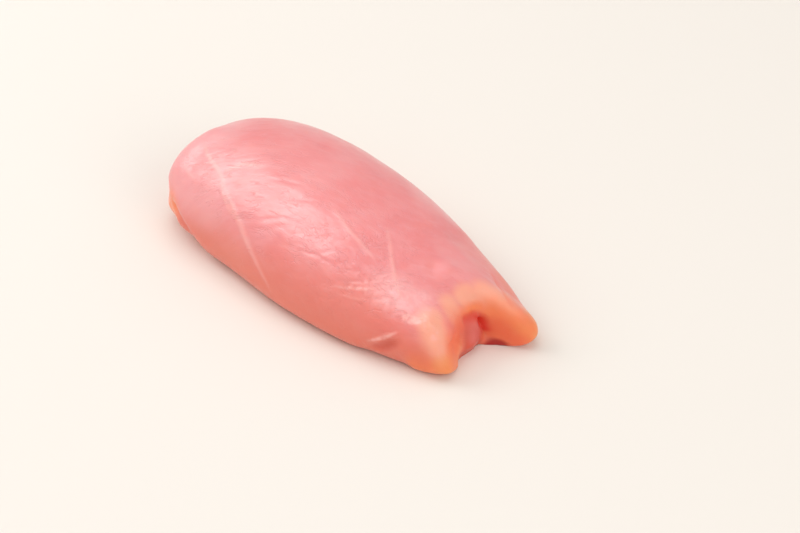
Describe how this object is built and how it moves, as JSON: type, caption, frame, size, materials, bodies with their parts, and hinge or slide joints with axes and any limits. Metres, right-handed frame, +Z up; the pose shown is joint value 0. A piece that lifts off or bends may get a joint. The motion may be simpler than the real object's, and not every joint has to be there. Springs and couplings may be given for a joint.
{
  "type": "boneless chicken thigh",
  "caption": "Raw boneless, skinless chicken thigh, folded round on itself, with a smooth crown and two blunt heels at its front end.",
  "frame": {"origin": "on the board that the thigh lies on, under the middle of its own box", "axes": "+X along the thigh towards its two heels, +Y towards the longer heel's side, +Z up"},
  "size_m": [0.1282, 0.0606, 0.031],
  "materials": {
    "raw_meat": "wet, glossy raw meat"
  },
  "bodies": {
    "root": {"chicken_thigh": "raw_meat"}
  },
  "joints": []
}
